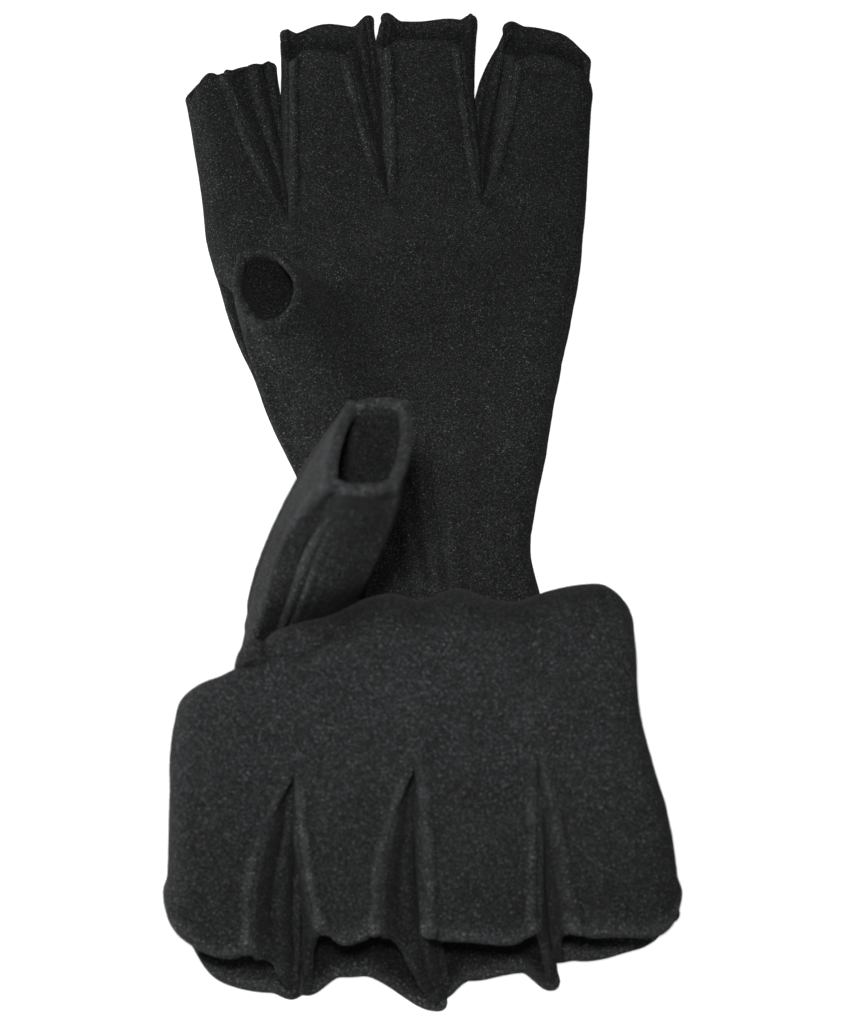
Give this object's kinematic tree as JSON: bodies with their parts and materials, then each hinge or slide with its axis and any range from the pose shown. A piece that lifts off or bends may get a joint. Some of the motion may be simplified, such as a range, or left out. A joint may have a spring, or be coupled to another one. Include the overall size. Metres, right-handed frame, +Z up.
{
  "type": "pair of fingerless fleece sailing gloves",
  "caption": "Pair of black fingerless fleece sailing gloves lying palm up, one flat and one folded across its palm over the other's cuff.",
  "frame": {"origin": "On the flat face the pair rests on, at the left glove's wrist, on the centre line of the pair", "axes": "+Y from the wrist towards the left glove's fingers, +X from the thumb side to the little-finger side, +Z up out of the palms"},
  "size_m": [0.1221, 0.254, 0.0847],
  "materials": {
    "fleece": "matte short-pile fleece, charcoal black with fine lighter flecks",
    "fourchette_fleece": "matte short-pile fleece, charcoal black",
    "seam_fleece": "pressed and stitched fleece edge, matte",
    "elastic": "woven elastic band, matte black"
  },
  "bodies": {
    "left_hand": {"left_back_panel": "fleece", "left_index_side_seam": "seam_fleece", "left_little_side_seam": "seam_fleece", "left_palm_panel": "fleece", "left_wrist_elastic": "elastic"},
    "left_thumb": {"left_thumb_finger_side": "fleece", "left_thumb_outer_gusset": "fourchette_fleece", "left_thumb_palm_gusset": "fourchette_fleece", "left_thumb_wrist_side": "fleece"},
    "right_cuff": {"right_back_lower": "fleece", "right_index_side_seam_lower": "seam_fleece", "right_little_side_seam_lower": "seam_fleece", "right_palm_lower": "fleece", "right_wrist_elastic": "elastic"},
    "right_hand": {"right_back_upper": "fleece", "right_index_side_seam_upper": "seam_fleece", "right_little_side_seam_upper": "seam_fleece", "right_palm_upper": "fleece"},
    "right_thumb": {"right_thumb_finger_side": "fleece", "right_thumb_outer_gusset": "fourchette_fleece", "right_thumb_palm_gusset": "fourchette_fleece", "right_thumb_wrist_side": "fleece"},
    "left_index": {"left_index_back_side": "fleece", "left_index_fourchette_little_side": "fourchette_fleece", "left_index_palm_side": "fleece", "left_index_seam": "seam_fleece"},
    "right_index": {"right_index_back_side": "fleece", "right_index_fourchette_little_side": "fourchette_fleece", "right_index_palm_side": "fleece", "right_index_seam": "seam_fleece"},
    "left_middle": {"left_middle_back_side": "fleece", "left_middle_fourchette_little_side": "fourchette_fleece", "left_middle_fourchette_thumb_side": "fourchette_fleece", "left_middle_palm_side": "fleece"},
    "right_middle": {"right_middle_back_side": "fleece", "right_middle_fourchette_little_side": "fourchette_fleece", "right_middle_fourchette_thumb_side": "fourchette_fleece", "right_middle_palm_side": "fleece"},
    "left_ring": {"left_ring_back_side": "fleece", "left_ring_fourchette_little_side": "fourchette_fleece", "left_ring_fourchette_thumb_side": "fourchette_fleece", "left_ring_palm_side": "fleece"},
    "right_ring": {"right_ring_back_side": "fleece", "right_ring_fourchette_little_side": "fourchette_fleece", "right_ring_fourchette_thumb_side": "fourchette_fleece", "right_ring_palm_side": "fleece"},
    "left_little": {"left_little_back_side": "fleece", "left_little_fourchette_thumb_side": "fourchette_fleece", "left_little_palm_side": "fleece", "left_little_seam": "seam_fleece"},
    "right_little": {"right_little_back_side": "fleece", "right_little_fourchette_thumb_side": "fourchette_fleece", "right_little_palm_side": "fleece", "right_little_seam": "seam_fleece"}
  },
  "joints": [
    {"name": "left_index_bend", "type": "hinge", "parent": "left_hand", "child": "left_index", "pos_m": [-0.04779, 0.08212, 0.01], "axis": [0.9962, 0.0872, 0], "range_deg": [-10, 80]},
    {"name": "left_middle_bend", "type": "hinge", "parent": "left_hand", "child": "left_middle", "pos_m": [-0.02263, 0.08432, 0.01], "axis": [0.9962, 0.0872, 0], "range_deg": [-10, 80]},
    {"name": "left_ring_bend", "type": "hinge", "parent": "left_hand", "child": "left_ring", "pos_m": [0.00352, 0.08661, 0.01], "axis": [0.9962, 0.0872, 0], "range_deg": [-10, 80]},
    {"name": "left_little_bend", "type": "hinge", "parent": "left_hand", "child": "left_little", "pos_m": [0.03041, 0.08896, 0.01], "axis": [0.9962, 0.0872, 0], "range_deg": [-10, 80]},
    {"name": "left_thumb_fold", "type": "hinge", "parent": "left_hand", "child": "left_thumb", "pos_m": [-0.00774, 0.01736, 0.0113], "axis": [-0.0872, 0.9962, 0], "range_deg": [0, 40]},
    {"name": "right_glove_lift", "type": "slide", "parent": "left_hand", "child": "right_cuff", "axis": [0, 0, 1], "range_m": [0, 0.15]},
    {"name": "right_glove_unfold", "type": "hinge", "parent": "right_cuff", "child": "right_hand", "pos_m": [-0.0015, -0.03187, 0.03123], "axis": [-1, 0, 0], "range_deg": [0, 45]},
    {"name": "right_index_bend", "type": "hinge", "parent": "right_hand", "child": "right_index", "pos_m": [-0.04175, -0.07222, 0.03894], "axis": [-1, 0, 0], "range_deg": [0, 85]},
    {"name": "right_middle_bend", "type": "hinge", "parent": "right_hand", "child": "right_middle", "pos_m": [-0.0165, -0.07222, 0.03894], "axis": [-1, 0, 0], "range_deg": [0, 85]},
    {"name": "right_ring_bend", "type": "hinge", "parent": "right_hand", "child": "right_ring", "pos_m": [0.00975, -0.07222, 0.03894], "axis": [-1, 0, 0], "range_deg": [0, 85]},
    {"name": "right_little_bend", "type": "hinge", "parent": "right_hand", "child": "right_little", "pos_m": [0.03675, -0.07222, 0.03894], "axis": [-1, 0, 0], "range_deg": [0, 85]},
    {"name": "right_thumb_fold", "type": "hinge", "parent": "right_hand", "child": "right_thumb", "pos_m": [-0.015, -0.0388, 0.04322], "axis": [0, 0.848, -0.5299], "range_deg": [0, 35]}
  ]
}
